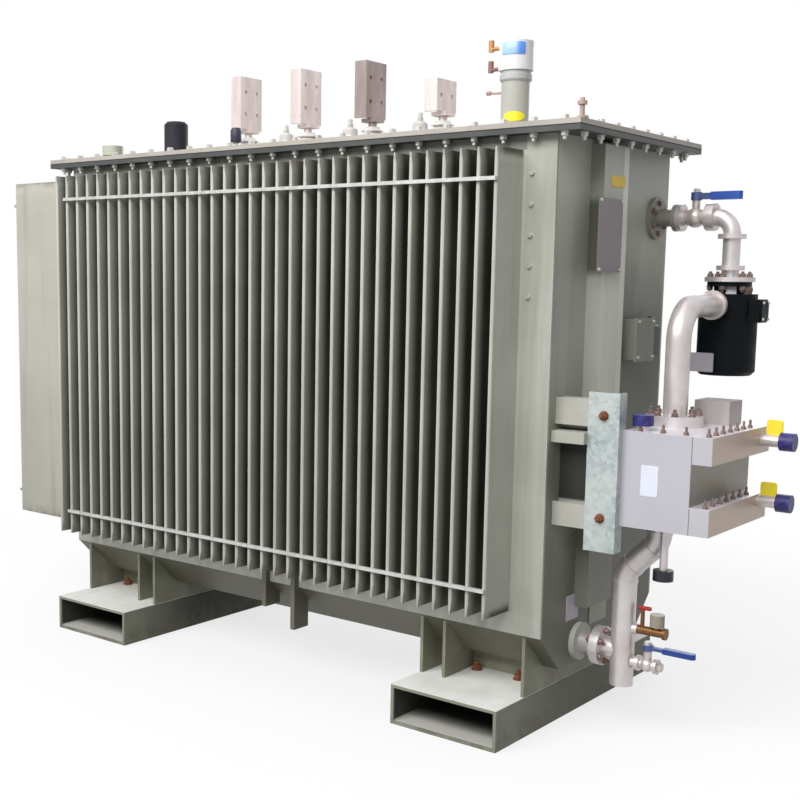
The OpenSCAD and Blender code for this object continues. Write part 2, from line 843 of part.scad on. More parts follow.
// Brass sampling cock with a cross handle on its stem and a cap over its upturned mouth
module sample_valve() {
    x1 = branch_x + sample_len;
    cx = branch_x + handle_x;
    top = sample_z + handle_h;
    color(brass) in_frame() {
        rod_x(branch_x, x1, -return_y, sample_z, sample_body_r);
        rod_x(x1, x1 + sample_nut_len, -return_y, sample_z, sample_nut_r);
        rod_z(sample_z, top, cx, -return_y, handle_r);
        rod_x(cx - handle_len / 3, cx + 2 * handle_len / 3, -return_y, top, handle_r);
        rod_z(sample_z, sample_z + mouth_h, branch_x + mouth_x, -return_y, mouth_r);
        rod_z(sample_z + mouth_h, sample_z + mouth_h + mouth_cap_h, branch_x + mouth_x, -return_y, mouth_cap_r);
    }
}

lv_x = -38;
lv_y = 0;
lv_base_r = 58;
lv_base_h = 14;
lv_neck_r = 30;
lv_shed_r = 46;
shed_count = 4;
stud_r = 17;
stud_h = 18;
pad_t = 15;
pad_w = 64;
flange_d = 56;
flag_z = cover_top + lv_h + stud_h;

function lv_place(i) = [lv_x + (i - 1.5) * lv_pitch, lv_y, cover_top];

// Half outline of a ribbed insulator that stands on z = 0
function shed_outline(h) = let(step = (h - lv_base_h) / (shed_count + 0.5)) concat(
    [[0, 0], [lv_base_r, 0], [lv_base_r, lv_base_h]],
    [for (i = [0 : shed_count - 1]) let(z = lv_base_h + i * step)
        each [[lv_neck_r, z + step * 0.3], [lv_shed_r, z + step * 0.6], [lv_shed_r - 4, z + step * 0.85]]],
    [[lv_neck_r, h], [0, h]]
);

module lv_insulators() {
    color(white_paint) in_frame() for (i = [0 : 3])
        translate(lv_place(i)) rotate_extrude() polygon(shed_outline(lv_h));
}

// Angle-shaped flag on a pad and stud, its wide leg facing +X with rows of holes
module flag(h, rows) {
    mid_z = flag_z - cover_top + pad_t + h / 2;
    difference() {
        union() {
            rod_z(lv_h, lv_h + stud_h, 0, 0, stud_r);
            translate([-pad_w / 2, -pad_w / 2, lv_h + stud_h]) cube([pad_w, pad_w, pad_t]);
            translate([0, -flag_w / 2, lv_h + stud_h + pad_t]) cube([flag_t, flag_w, h]);
            translate([flag_t - flange_d, -flag_w / 2, lv_h + stud_h + pad_t]) cube([flange_d, flag_t, h]);
        }
        for (y = [-1, 1] * flag_hole_y / 2, z = rows)
            rod_x(-1, flag_t + 1, y, mid_z + z, flag_hole_r);
    }
}

module lv_flags() {
    color(tinned) in_frame() for (i = [0 : 3])
        translate(lv_place(i)) flag(i < 3 ? flag_h : neutral_h, i < 3 ? [-1, 1] * flag_hole_z / 2 : [0]);
}

hv_y = 250;
hv_x = -177;
hv_base_r = 65;
hv_base_h = 14;
hv_root_r = 46;
hv_tip_r = 33;

module hv_bushings() {
    color(white_paint) in_frame() for (i = [-1 : 1])
        translate([hv_x + i * hv_pitch, hv_y, cover_top]) rotate_extrude() polygon([
            [0, 0], [hv_base_r, 0], [hv_base_r, hv_base_h], [hv_root_r, hv_base_h],
            [hv_tip_r, hv_h - 30], [hv_tip_r, hv_h - 8], [hv_tip_r - 8, hv_h], [0, hv_h]
        ]);
}

tap_x = -872;
tap_y = -100;
tap_r = 52;
tap_h = 172;
tap_base_r = 64;
tap_base_h = 12;
tap_bevel = 12;

module tap_changer() {
    color(dark_epoxy) in_frame() translate([tap_x, tap_y, cover_top]) rotate_extrude() polygon([
        [0, 0], [tap_base_r, 0], [tap_base_r, tap_base_h], [tap_r, tap_base_h],
        [tap_r, tap_h - tap_bevel], [tap_r - tap_bevel, tap_h], [0, tap_h]
    ]);
}

relay_x = 795;
relay_y = -50;
relay_h = 236;
relay_head_h = 100;
relay_base_r = relay_d / 2 + 20;
relay_base_h = 14;
tap_reach = 44;
tap_pipe_r = 7;
tap_body_r = 10;
tap_body_h = 40;

module relay_column() {
    color(white_paint) in_frame() translate([relay_x, relay_y, cover_top]) {
        cylinder(h = relay_base_h, r = relay_base_r);
        translate([0, 0, relay_base_h]) cylinder(h = relay_h - relay_base_h, d = relay_d);
    }
}

// Round head with two sampling taps on its left side
module relay_head() {
    r = relay_head_d / 2;
    z0 = cover_top + relay_h;
    color(white_paint) in_frame() {
        rod_z(z0, z0 + relay_head_h, relay_x, relay_y, r);
        for (z = [z0 + 2 * tap_pipe_r, z0 + relay_head_h - 2 * tap_pipe_r]) {
            rod_x(relay_x - r - tap_reach, relay_x, relay_y, z, tap_pipe_r);
            rod_z(z - tap_body_h / 4, z + 3 * tap_body_h / 4, relay_x - r - tap_reach, relay_y, tap_body_r);
        }
    }
}

filler_x = -1060;
filler_y = -300;
filler_r = 36;
filler_h = 22;
filler_cap_r = 45;
filler_cap_h = 40;

module filler_cap() {
    color(paint) in_frame() translate([filler_x, filler_y, cover_top]) {
        cylinder(h = filler_h, r = filler_r);
        translate([0, 0, filler_h]) cylinder(h = filler_cap_h, r = filler_cap_r);
    }
}

skid_left();
skid_right();
foot_left();
foot_right();
tank_floor();
lower_walls();
upper_walls();
corner_posts();
right_end_wall();
front_fin_wall();
back_fin_wall();
left_fin_wall();
fin_tie_bars();
tank_rim();
cover_gasket();
cover();
end_stiffener();
rating_plate();
sensor_box();
bracket_arms();
cooler_post();
cooler_body();
cooler_nozzles();
port_caps();
leak_monitor();
outlet_nozzle();
outlet_valve();
outlet_lever();
suction_pipe();
pump_volute();
pump_motor();
pump_terminal_box();
discharge_pipe();
return_pipe();
return_nozzle();
drain_valve();
drain_lever();
sample_valve();
lv_insulators();
lv_flags();
hv_bushings();
tap_changer();
relay_column();
relay_head();
filler_cap();
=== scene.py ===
"""Looks of an oil-filled power transformer: paints, metals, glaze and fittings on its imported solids."""
import math

import bmesh
import bpy
import numpy as np
from mathutils import Matrix, Vector


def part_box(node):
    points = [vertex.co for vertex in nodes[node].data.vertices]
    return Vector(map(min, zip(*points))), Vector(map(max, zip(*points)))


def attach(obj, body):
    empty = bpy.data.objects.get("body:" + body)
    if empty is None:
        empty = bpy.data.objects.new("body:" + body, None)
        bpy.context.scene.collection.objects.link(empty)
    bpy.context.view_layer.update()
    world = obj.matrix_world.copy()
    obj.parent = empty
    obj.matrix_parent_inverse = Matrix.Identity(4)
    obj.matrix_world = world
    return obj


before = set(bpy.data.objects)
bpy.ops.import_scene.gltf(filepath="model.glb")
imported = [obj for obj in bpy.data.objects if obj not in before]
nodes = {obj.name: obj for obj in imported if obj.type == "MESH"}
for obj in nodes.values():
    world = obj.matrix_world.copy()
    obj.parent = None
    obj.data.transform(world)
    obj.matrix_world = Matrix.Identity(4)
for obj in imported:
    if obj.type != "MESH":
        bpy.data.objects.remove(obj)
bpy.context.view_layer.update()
scene = bpy.context.scene
tank_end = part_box("corner_posts")[1].x

ROOT = "transformer"
UP, DOWN = (0, 0, 1), (0, 0, -1)
FRONT, BACK, RIGHT = (0, -1, 0), (0, 1, 0), (1, 0, 0)

# Places on the object, in mm from the tank's middle and the floor
HALF_L = 1175
COVER_TOP, RIM_UNDER = 2040, 2004
RELAY = (795, -50)
TAP_CHANGER = (-872, -100)
PUMP = (1465, 315)
HV_ROW, HV_Y = (-535, -177, 181), 250
LV_ROW = (-533, -203, 127, 457)
UPPER_HEADER, LOWER_HEADER = 1073, 851

# Screen colour of the dirt that runs down several paints
RUN_DIRT = (112, 108, 94)

# A crisp edge between two finishes is soft for this far to either side, in metres
CRISP = 0.0015

# The Mix node's sockets for colours, by number because their names repeat
MIX_FACTOR, MIX_A, MIX_B, MIX_RESULT = 0, 6, 7, 2


class Wire:
    """A shader socket with arithmetic: an expression on wires adds its Math nodes."""

    def __init__(self, graph, socket):
        self.graph = graph
        self.socket = socket

    def _math(self, operation, a, b=0.0):
        return self.graph.add("ShaderNodeMath", {"operation": operation}, {0: a, 1: b})

    def __add__(self, other):
        return self._math("ADD", self, other)

    def __radd__(self, other):
        return self._math("ADD", other, self)

    def __sub__(self, other):
        return self._math("SUBTRACT", self, other)

    def __rsub__(self, other):
        return self._math("SUBTRACT", other, self)

    def __mul__(self, other):
        return self._math("MULTIPLY", self, other)

    def __rmul__(self, other):
        return self._math("MULTIPLY", other, self)

    def __abs__(self):
        return self._math("ABSOLUTE", self)

    def above(self, edge, soft):
        """0 below edge - soft, 1 above edge + soft, and smooth between."""
        return self.graph.add("ShaderNodeMapRange", {"interpolation_type": "SMOOTHSTEP"},
                              {"Value": self, "From Min": edge - soft, "From Max": edge + soft})

    def below(self, edge, soft):
        """1 below edge - soft, 0 above edge + soft, and smooth between."""
        return 1.0 - self.above(edge, soft)

    def between(self, low, high, soft):
        """1 from low to high and 0 outside, with soft edges."""
        return self.above(low, soft) * self.below(high, soft)

    def near(self, place, reach, soft):
        """1 within reach of the place and 0 beyond, with a soft edge."""
        return abs(self - place).below(reach, soft)


class Graph:
    """A node tree that is built from wires."""

    def __init__(self, tree):
        self.tree = tree

    def add(self, kind, settings, inputs, output=0):
        """Adds a node, sets its settings, then its sockets, and returns one of its outputs as a wire."""
        node = self.tree.nodes.new(kind)
        for key, value in settings.items():
            setattr(node, key, value)
        for key, value in inputs.items():
            self.set(node.inputs[key], value)
        return Wire(self, node.outputs[output])

    def set(self, socket, value):
        """Links a wire to the socket, or sets a plain value on it."""
        if isinstance(value, Wire):
            self.tree.links.new(value.socket, socket)
        else:
            socket.default_value = value

    def shown(self):
        """1 for rays that show the backdrop itself: from the camera, and in mirrors and glass."""
        rays = [self.add("ShaderNodeLightPath", {}, {}, name)
                for name in ("Is Camera Ray", "Is Glossy Ray", "Is Transmission Ray")]
        return (rays[0] + rays[1] + rays[2]).above(0.5, 0.1)


class Shader(Graph):
    """One material with a Principled surface."""

    def __init__(self, name):
        self.material = bpy.data.materials.new(name)
        self.material.use_nodes = True
        super().__init__(self.material.node_tree)
        self.surface = self.tree.nodes["Principled BSDF"]
        self.place = self.add("ShaderNodeTexCoord", {}, {}, "Object")

    def noise(self, scale, detail, roughness=0.55, stretch=(1, 1, 1)):
        """Noise on Object coordinates, from 0 to 1, with its place stretched along the axes."""
        place = self.add("ShaderNodeMapping", {}, {"Vector": self.place, "Scale": stretch})
        inputs = {"Vector": place, "Scale": scale, "Detail": detail, "Roughness": roughness}
        return self.add("ShaderNodeTexNoise", {}, inputs)

    def runs(self, edge=0.60, soft=0.14, scale=11.0, rise=0.07):
        """Streaks down a wall: noise drawn out along Z, 1 where it is above the edge."""
        return self.noise(scale, 4, 0.6, (1, 1, rise)).above(edge, soft)

    def cells(self, scale):
        """One number from 0 to 1 for each cell of a Voronoi pattern on Object coordinates."""
        color = self.add("ShaderNodeTexVoronoi", {}, {"Vector": self.place, "Scale": scale}, "Color")
        return self.add("ShaderNodeSeparateColor", {}, {0: color})

    def mix(self, factor, a, b):
        """Colour a where factor is 0 and b where it is 1; three numbers are an 8-bit screen colour."""
        a, b = (linear(c) if isinstance(c, tuple) and len(c) == 3 else c for c in (a, b))
        inputs = {MIX_FACTOR: factor, MIX_A: a, MIX_B: b}
        return self.add("ShaderNodeMix", {"data_type": "RGBA"}, inputs, MIX_RESULT)

    def axis(self, name):
        """One Object coordinate, in metres."""
        return self.add("ShaderNodeSeparateXYZ", {}, {0: self.place}, name)

    def bump(self, height, strength, distance=0.001):
        """A normal tilted by the slope of the height."""
        inputs = {"Height": height, "Strength": strength, "Distance": distance}
        return self.add("ShaderNodeBump", {}, inputs)

    def grain(self, scale, strength, detail=2):
        """The normal of a fine, even grain."""
        return self.bump(self.noise(scale, detail), strength)

    def finish(self, **sockets):
        """Sets the surface's sockets, named with _ for each space, and returns the material."""
        for key, value in sockets.items():
            self.set(self.surface.inputs[key.replace("_", " ")], value)
        return self.material


def linear(screen):
    """The linear colour of an 8-bit screen colour, with its alpha of 1."""
    shares = [value / 255 for value in screen]
    return (*(v / 12.92 if v <= 0.04045 else ((v + 0.055) / 1.055) ** 2.4 for v in shares), 1)


def tank_x(x):
    """X in metres of a length in mm from the tank's middle."""
    return tank_end + (x - HALF_L) / 1000


def at(x, y, z):
    """Place in metres of a point in mm from the tank's middle and the floor."""
    return np.array([tank_x(x), y / 1000, z / 1000])


def tank_paint(name, light, shade, dirt=0.35):
    """Pebble-grey paint with soft clouds, runs of dirt down the walls, and dust near the floor."""
    s = Shader(name)
    cloud = s.noise(2.6, 5)
    dusty = s.axis("Z").below(0.30, 0.24) * s.noise(14.0, 5).above(0.48, 0.2)
    color = s.mix(cloud.above(0.5, 0.22), shade, light)
    color = s.mix(s.runs() * dirt, color, RUN_DIRT)
    color = s.mix(dusty * 0.55, color, (104, 98, 84))
    return s.finish(Base_Color=color, Roughness=0.40 + 0.20 * cloud, Normal=s.grain(380.0, 0.07))


def fin_paint(name, depth_of, light, shade):
    """The tank's paint on fins: painted shade deepens, mottled, from each nose to the roots, and stains
    mark the welded ends.
    """
    top_weld, foot_weld = 1.935, 0.462
    s = Shader(name)
    cloud = s.noise(3.1, 5)
    height = s.axis("Z")
    color = s.mix(cloud.above(0.5, 0.22), shade, light)
    color = s.mix(height.below(1.1, 0.8) * 0.35, color, (150, 149, 138))
    # Painted shade in the gaps between the fins, in mottled dark tones
    gap_shade_mottle = s.noise(1.7, 4, 0.6, (2.2, 2.2, 0.5)).above(0.5, 0.16)
    color = s.mix(depth_of(s), color, s.mix(gap_shade_mottle, (44, 45, 40), (84, 85, 77)))
    weld = height.above(top_weld, 0.012) + height.below(foot_weld, 0.016)
    stain = s.noise(26.0, 4).above(0.5, 0.12)
    color = s.mix(weld * stain * 0.4, color, (124, 112, 94))
    color = s.mix(s.runs(0.62, 0.12, 13.0, 0.05) * 0.25, color, (110, 106, 92))
    return s.finish(Base_Color=color, Roughness=0.46 + 0.2 * cloud, Specular_IOR_Level=0.35,
                    Normal=s.grain(380.0, 0.06))


def long_fin_depth(s):
    """0 on the noses of the long walls' fins and on each bank's outer faces, 1 deep in the gaps."""
    gap_y, fade = 0.556, 0.030
    low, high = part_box("front_fin_wall")
    middle = (low.x + high.x) / 2
    last_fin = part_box("fin_tie_bars")[1].x - middle - 0.0025
    return s.axis("X").near(middle, last_fin, CRISP) * abs(s.axis("Y")).below(gap_y, fade)


def end_fin_depth(s):
    """0 on the noses of the end wall's fins and on the bank's outer faces, 1 deep in the gaps."""
    last_fin, depth, fade = 0.3925, 0.08, 0.075
    nose = -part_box("left_fin_wall")[0].x
    return abs(s.axis("Y")).below(last_fin, CRISP) * abs(s.axis("X")).below(nose - depth, fade)


def end_wall_paint():
    """End wall paint: paler high up, darker lower down, a painted shadow of the stiffener on the pump's
    side, and pale on the pipe's boss.
    """
    pale_from, shadow_top, shadow_foot, dark_top = 1.72, 1.62, 0.5, 1.05
    s = Shader("end_wall_paint")
    cloud = s.noise(2.6, 5)
    soot = s.noise(5.0, 4)
    height = s.axis("Z")
    color = s.mix(cloud.above(0.5, 0.22), (166, 167, 156), (180, 181, 170))
    color = s.mix(s.runs(0.58) * 0.35, color, RUN_DIRT)
    color = s.mix(height.above(pale_from, 0.18), color, (196, 197, 186))
    # Painted shadow that the stiffener casts on the wall towards the pump
    pump_half = s.axis("Y").above(0.0, 0.03)
    stiffener_shadow = pump_half * (height + 0.25 * soot).below(shadow_top, 0.22) * height.above(shadow_foot, 0.3)
    color = s.mix(stiffener_shadow * 0.88, color, (66, 67, 58))
    low = (height + 0.3 * soot).below(dark_top, 0.55)
    color = s.mix(low * 0.85, color, (90, 89, 78))
    boss = s.axis("X").above(tank_end + 0.0008, 0.0004)
    color = s.mix(boss, color, s.mix(cloud, (178, 179, 168), (204, 204, 195)))
    return s.finish(Base_Color=color, Roughness=0.42 + 0.2 * cloud, Normal=s.grain(380.0, 0.07))


def stiffener_paint():
    """The stiffener's paint: a painted highlight on its face, palest near its right edge and duller from
    the plate's foot up, painted shade down its left side with the plate's painted shadow, and darker at its
    foot.
    """
    plate_foot, plate_top = 1.565, 1.81
    left_side, right_edge = -0.1935, -0.052
    dull_from, dark_top = 1.56, 0.82
    s = Shader("stiffener_paint")
    height = s.axis("Z")
    across = s.axis("Y")
    cloud = s.noise(2.6, 5)
    # Painted highlight: the face is paler than the wall's paint, duller from the plate's foot up and palest
    # near its right edge
    color = s.mix(height.above(dull_from, 0.10), (230, 231, 219), (196, 197, 186))
    color = s.mix(across.above(right_edge, 0.004), color, (236, 237, 226))
    color = s.mix(s.runs() * 0.2, color, RUN_DIRT)
    # Painted shade down the left side, deeper by the plate where its shadow falls
    plate_shadow_band = height.between(plate_foot, plate_top, 0.02)
    color = s.mix(across.below(left_side, 0.0008) * (0.5 + 0.45 * plate_shadow_band), color, (66, 69, 60))
    low = (height + 0.1 * cloud).below(dark_top, 0.10)
    color = s.mix(low * 0.85, color, (104, 105, 94))
    return s.finish(Base_Color=color, Roughness=0.42 + 0.2 * cloud, Normal=s.grain(380.0, 0.07))


def skid_paint():
    """Thick paint on the skids: pale on top as dust and painted light from above, painted shade on the webs
    and inside, and rust where chipped.

    The webs' painted shade deepens under the tank, more on the side that faces its middle, and a painted
    pool of light lies at the mouth of each skid.
    """
    top_z, splash_z, floor_z, lit_sill_z, skin = 0.1415, 0.06, 0.004, 0.016, 0.004
    s = Shader("skid_paint")
    height = s.axis("Z")
    along = abs(s.axis("Y"))
    low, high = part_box("skid_left")
    right_low, right_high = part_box("skid_right")
    left_x = (low.x + high.x) / 2
    right_x = (right_low.x + right_high.x) / 2
    outward = abs(s.axis("X") - (left_x + right_x) / 2) - (right_x - left_x) / 2
    color = s.mix(s.noise(4.0, 5), (122, 124, 108), (150, 152, 138))
    # Painted shade on the webs under the tank, deeper on the webs that face its middle
    web_shade_under_tank = along.below(high.y - 0.24, 0.20) * (0.95 - 0.50 * outward.above(0.0, 0.01))
    color = s.mix(web_shade_under_tank, color, (38, 40, 33))
    # The pale top is dust and painted light from above
    dust = s.mix(s.noise(7.0, 5).above(0.5, 0.2), (226, 226, 219), (240, 240, 236))
    color = s.mix(height.above(top_z, 0.0008), color, dust)
    splash = height.below(splash_z, 0.05) * s.noise(18.0, 5).above(0.46, 0.14)
    color = s.mix(splash * 0.6, color, (96, 90, 76))
    chips = s.noise(46.0, 6, 0.65).above(0.69, 0.02)
    color = s.mix(chips * 0.8, color, (104, 70, 48))
    inside = abs(outward).below((high.x - low.x) / 2 - skin, CRISP)
    inside = inside * height.between(floor_z, high.z - skin, CRISP) * along.below(high.y - 0.006, 0.004)
    # Painted light on the floor just inside each mouth, and painted shade deeper inside
    lit_sill = height.below(lit_sill_z, 0.002) * along.above(high.y - 0.14, 0.09)
    color = s.mix(inside * lit_sill, color, (196, 194, 186))
    color = s.mix(inside * (1.0 - lit_sill) * 0.9, color, (30, 31, 26))
    return s.finish(Base_Color=color, Roughness=0.55 + 0.25 * s.noise(30.0, 3),
                    Normal=s.grain(240.0, 0.12, 3))


def galvanised_steel(name, light, shade):
    """Zinc with its spangle of crystals, dulled, with white bloom."""
    s = Shader(name)
    spangle = s.cells(70.0)
    bloom = s.noise(9.0, 5).above(0.56, 0.14)
    color = s.mix(spangle, shade, light)
    color = s.mix(bloom * 0.5, color, (208, 210, 207))
    return s.finish(Base_Color=color, Metallic=0.35, Roughness=0.42 + 0.16 * spangle,
                    Normal=s.grain(300.0, 0.05))


def stainless_steel():
    """Pickled stainless steel, faintly lilac, brushed, with tan heat marks in soft patches."""
    s = Shader("stainless_steel")
    patch = s.noise(7.0, 4).above(0.58, 0.16)
    brushed = s.noise(60.0, 3, 0.6, (1, 1, 12))
    color = s.mix(brushed, (200, 193, 194), (222, 216, 216))
    color = s.mix(patch * 0.6, color, (186, 170, 158))
    return s.finish(Base_Color=color, Metallic=0.55, Roughness=0.30 + 0.16 * brushed,
                    Normal=s.bump(brushed, 0.05, 0.0006))


def cooler_steel():
    """The cooler's folded steel: brushed lilac fronts, a painted highlight on the tops, and painted shade
    in tan on the header ends and in the recess.
    """
    header_reach, upper_top, lower_top = 0.066, UPPER_HEADER / 1000 - 0.0005, LOWER_HEADER / 1000
    s = Shader("cooler_steel")
    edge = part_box("cooler_body")[1].x
    along = s.axis("X")
    height = s.axis("Z")
    headers = along.above(edge - header_reach, CRISP)
    brushed = s.noise(40.0, 3, 0.6, (14, 1, 1))
    cloud = s.noise(5.0, 4)
    color = s.mix(cloud, (182, 179, 186), (196, 194, 201))
    color = s.mix(brushed * 0.3, color, (206, 203, 209))
    # Painted shade: tan on the header ends, which face to the side
    color = s.mix(along.above(edge - 0.001, 0.0006), color, (188, 170, 156))
    # Painted shade on the core's face, recessed between the headers
    core_recess_shade = along.between(edge - 0.0655, edge - 0.0625, 0.0006)
    color = s.mix(core_recess_shade, color, (132, 126, 118))
    # Painted highlight on the headers' tops
    top_highlight = height.above(upper_top, 0.0004) + headers * height.near(lower_top, 0.001, 0.0004)
    color = s.mix(top_highlight, color, s.mix(cloud, (226, 222, 228), (238, 235, 240)))
    return s.finish(Base_Color=color, Metallic=0.4, Roughness=0.34 + 0.14 * brushed,
                    Normal=s.bump(brushed, 0.04, 0.0006))


def plate_metal():
    """The bare rating plate: dull etched metal with faint wiping marks."""
    s = Shader("plate_metal")
    wiped = s.noise(22.0, 4, 0.6, (1, 4, 0.6))
    color = s.mix(wiped, (116, 110, 112), (138, 132, 134))
    return s.finish(Base_Color=color, Metallic=0.4, Roughness=0.36 + 0.2 * wiped)


def gasket_rubber():
    """Black rubber with a fine grain."""
    s = Shader("gasket_rubber")
    grain = s.noise(120.0, 3)
    color = s.mix(grain, (38, 38, 38), (58, 57, 55))
    return s.finish(Base_Color=color, Roughness=0.85, Normal=s.bump(grain, 0.2))


def pump_black():
    """Black enamel over cast iron, with a little dust in patches."""
    s = Shader("pump_black")
    dust = s.noise(10.0, 5).above(0.55, 0.2)
    color = s.mix(dust * 0.4, (8, 12, 15), (28, 34, 38))
    return s.finish(Base_Color=color, Roughness=0.42 + 0.25 * dust, Specular_IOR_Level=0.1,
                    Normal=s.grain(130.0, 0.22, 3))


def lever_blue(node, light, shade):
    """A blue dipped grip, on a hub and shank of worn, bluish steel."""
    shank = 0.072
    s = Shader(node + "_blue")
    grip = s.axis("X").above(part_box(node)[0].x + shank, CRISP)
    rub = s.noise(70.0, 4)
    steel = s.mix(rub, (58, 78, 130), (92, 106, 150))
    color = s.mix(grip, steel, s.mix(rub, shade, light))
    return s.finish(Base_Color=color, Metallic=(1.0 - grip) * 0.4, Roughness=0.36 + 0.16 * rub,
                    Normal=s.bump(rub, 0.06))


def cap_plastic():
    """Indigo moulded caps with scuffs; the bleed cap underneath is black."""
    bleed_top = 0.70
    s = Shader("cap_plastic")
    scuff = s.noise(60.0, 5)
    color = s.mix(scuff.above(0.56, 0.12) * 0.5, (30, 26, 98), (78, 72, 146))
    color = s.mix(s.axis("Z").below(bleed_top, 0.02), color, (20, 20, 30))
    return s.finish(Base_Color=color, Roughness=0.34 + 0.24 * scuff)


def sampling_cock():
    """Dull brass with a red cross handle on top and a grey-beige cap over the mouth."""
    handle_z, cap_z, cap_x = 0.447, 0.402, tank_x(1440)
    s = Shader("sampling_cock")
    tarnish = s.noise(60.0, 4)
    handle = s.axis("Z").above(handle_z, CRISP)
    cap = s.axis("X").above(cap_x, 0.001) * s.axis("Z").above(cap_z, 0.001)
    brass = s.mix(tarnish, (98, 68, 40), (138, 98, 60))
    color = s.mix(cap, brass, s.mix(tarnish, (142, 134, 122), (170, 162, 148)))
    color = s.mix(handle, color, (172, 28, 30))
    bare = (1.0 - handle) * (1.0 - cap)
    return s.finish(Base_Color=color, Metallic=bare * 0.75, Roughness=0.36 + 0.2 * tarnish)


def porcelain():
    """White glaze with a trace of dust in patches."""
    s = Shader("porcelain")
    dust = s.noise(20.0, 5)
    color = s.mix(dust.above(0.52, 0.2) * 0.5, (220, 217, 214), (198, 192, 186))
    return s.finish(Base_Color=color, Roughness=0.16 + 0.22 * dust, Coat_Weight=0.4 * dust)


def tinned_copper():
    """Tinned flags with pinkish copper showing in streaks; the third is browner than its neighbours."""
    s = Shader("tinned_copper")
    streaks = s.noise(24.0, 4, 0.6, (1, 1, 0.18))
    worn = streaks.above(0.5, 0.2)
    third = s.axis("X").near(tank_x(LV_ROW[2]), 0.10, 0.01)
    color = s.mix(worn, (226, 213, 211), (206, 193, 191))
    color = s.mix(third, color, s.mix(worn, (168, 154, 151), (146, 132, 130)))
    spots = s.noise(90.0, 3).above(0.66, 0.04)
    color = s.mix(spots * 0.3, color, (120, 100, 92))
    return s.finish(Base_Color=color, Metallic=0.7, Roughness=0.34 + 0.2 * streaks)


def dark_epoxy():
    """Violet-grey cast resin, chalked a little by the weather."""
    s = Shader("dark_epoxy")
    chalk = s.noise(16.0, 5)
    color = s.mix(chalk.above(0.52, 0.2), (28, 25, 34), (46, 42, 52))
    return s.finish(Base_Color=color, Roughness=0.46 + 0.2 * chalk, Specular_IOR_Level=0.25,
                    Normal=s.grain(200.0, 0.06, 3))


def relay_white(name, light, shade):
    """Moulded relay housing, with two sampling taps at its left: the upper of brass, the lower browner."""
    between_taps = 2.32
    s = Shader(name)
    soft = s.noise(14.0, 4)
    taps = s.axis("X").below(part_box("relay_column")[0].x + 0.0005, 0.0008)
    upper = s.axis("Z").above(between_taps, 0.005)
    brass = s.mix(soft, (170, 120, 74), (198, 150, 102))
    color = s.mix(soft, shade, light)
    color = s.mix(taps, color, s.mix(upper, (142, 104, 96), brass))
    return s.finish(Base_Color=color, Metallic=taps * 0.5, Roughness=0.36 + 0.15 * soft,
                    Specular_IOR_Level=0.3)


def bracket_paint():
    """The bracket's paint: pale on its arms and its bar, and near black on the plate between as painted
    shade of the recess.
    """
    plate_y, plate_foot, plate_top = -0.3335, 0.826, 1.066
    s = Shader("bracket_paint")
    cloud = s.noise(9.0, 4)
    # Painted shade: the plate between the arms is near black, as the recess there is unlit
    bracket_shade = s.axis("Y").above(plate_y, 0.0006) * s.axis("Z").between(plate_foot, plate_top, 0.006)
    color = s.mix(cloud, (168, 167, 156), (190, 189, 180))
    color = s.mix(bracket_shade * 0.96, color, (16, 17, 14))
    return s.finish(Base_Color=color, Roughness=0.5 + 0.2 * cloud, Specular_IOR_Level=0.25,
                    Normal=s.grain(300.0, 0.06))


def bolt_zinc(name, light, shade):
    """Plated fasteners, dulled, with a freckle of rust on some."""
    s = Shader(name)
    dull = s.noise(40.0, 4)
    rust = s.noise(8.0, 3).above(0.66, 0.05) * s.noise(160.0, 3).above(0.48, 0.1)
    color = s.mix(dull, shade, light)
    color = s.mix(rust * 0.7, color, (128, 84, 54))
    return s.finish(Base_Color=color, Metallic=0.5, Roughness=0.34 + 0.25 * dull)


def rusted_bolt():
    """Steel under a brown crust of rust."""
    s = Shader("rusted_bolt")
    crust = s.noise(90.0, 5)
    color = s.mix(crust, (92, 52, 34), (146, 92, 58))
    return s.finish(Base_Color=color, Roughness=0.7 + 0.2 * crust, Normal=s.bump(crust, 0.3))


def blank_label(name, light, shade):
    """A plain label or moulding without any words: one colour with faint handling marks."""
    s = Shader(name)
    marks = s.noise(34.0, 4)
    return s.finish(Base_Color=s.mix(marks, shade, light), Roughness=0.4 + 0.2 * marks)


def window_glass():
    """The relay's sight glass: pale sky blue, and deeper towards its right end."""
    deep_from = tank_x(829)
    s = Shader("relay_window")
    marks = s.noise(34.0, 4)
    pale = s.mix(marks, (164, 206, 250), (186, 218, 250))
    color = s.mix(s.axis("X").above(deep_from, 0.010), pale, (96, 152, 240))
    return s.finish(Base_Color=color, Roughness=0.18 + 0.2 * marks)


def turned(profile, columns=16):
    """Rings of a turned shape: each (radius, height) in mm is carried once around local Z."""
    angle = np.linspace(0, 2 * np.pi, columns, endpoint=False)
    radius, height = np.array(profile, float).T[:, :, None] / 1000
    return np.stack([radius * np.cos(angle), radius * np.sin(angle), height + 0 * angle], -1)


def plated(width, height, corner, profile, steps=4):
    """Rings of a plate, in mm: a rounded rectangle in local X and Y, drawn in by each inset of the profile
    and raised by the height beside it."""
    quarter = np.linspace(0, np.pi / 2, steps)
    angle = (quarter + np.arange(4)[:, None] * np.pi / 2).ravel()
    side_x, side_y = np.repeat([[1, -1, -1, 1], [1, 1, -1, -1]], steps, 1)
    inset, rise = np.array(profile, float).T[:, :, None]
    bend = np.maximum(corner - inset, 0.01)
    x = side_x * (width / 2 - inset - bend) + bend * np.cos(angle)
    y = side_y * (height / 2 - inset - bend) + bend * np.sin(angle)
    return np.stack([x, y, rise + 0 * x], -1) / 1000


def flat_plate(width, height, thickness):
    """Rings of a thin plate in mm, with round corners and a small bevel along its edge."""
    corner, sunk, bevel, rim = 4, -0.5, 0.8, 3
    return plated(width, height, corner, [(0, sunk), (0, sunk), (0, thickness - bevel), (bevel, thickness),
                                          (rim, thickness), (rim, thickness)])


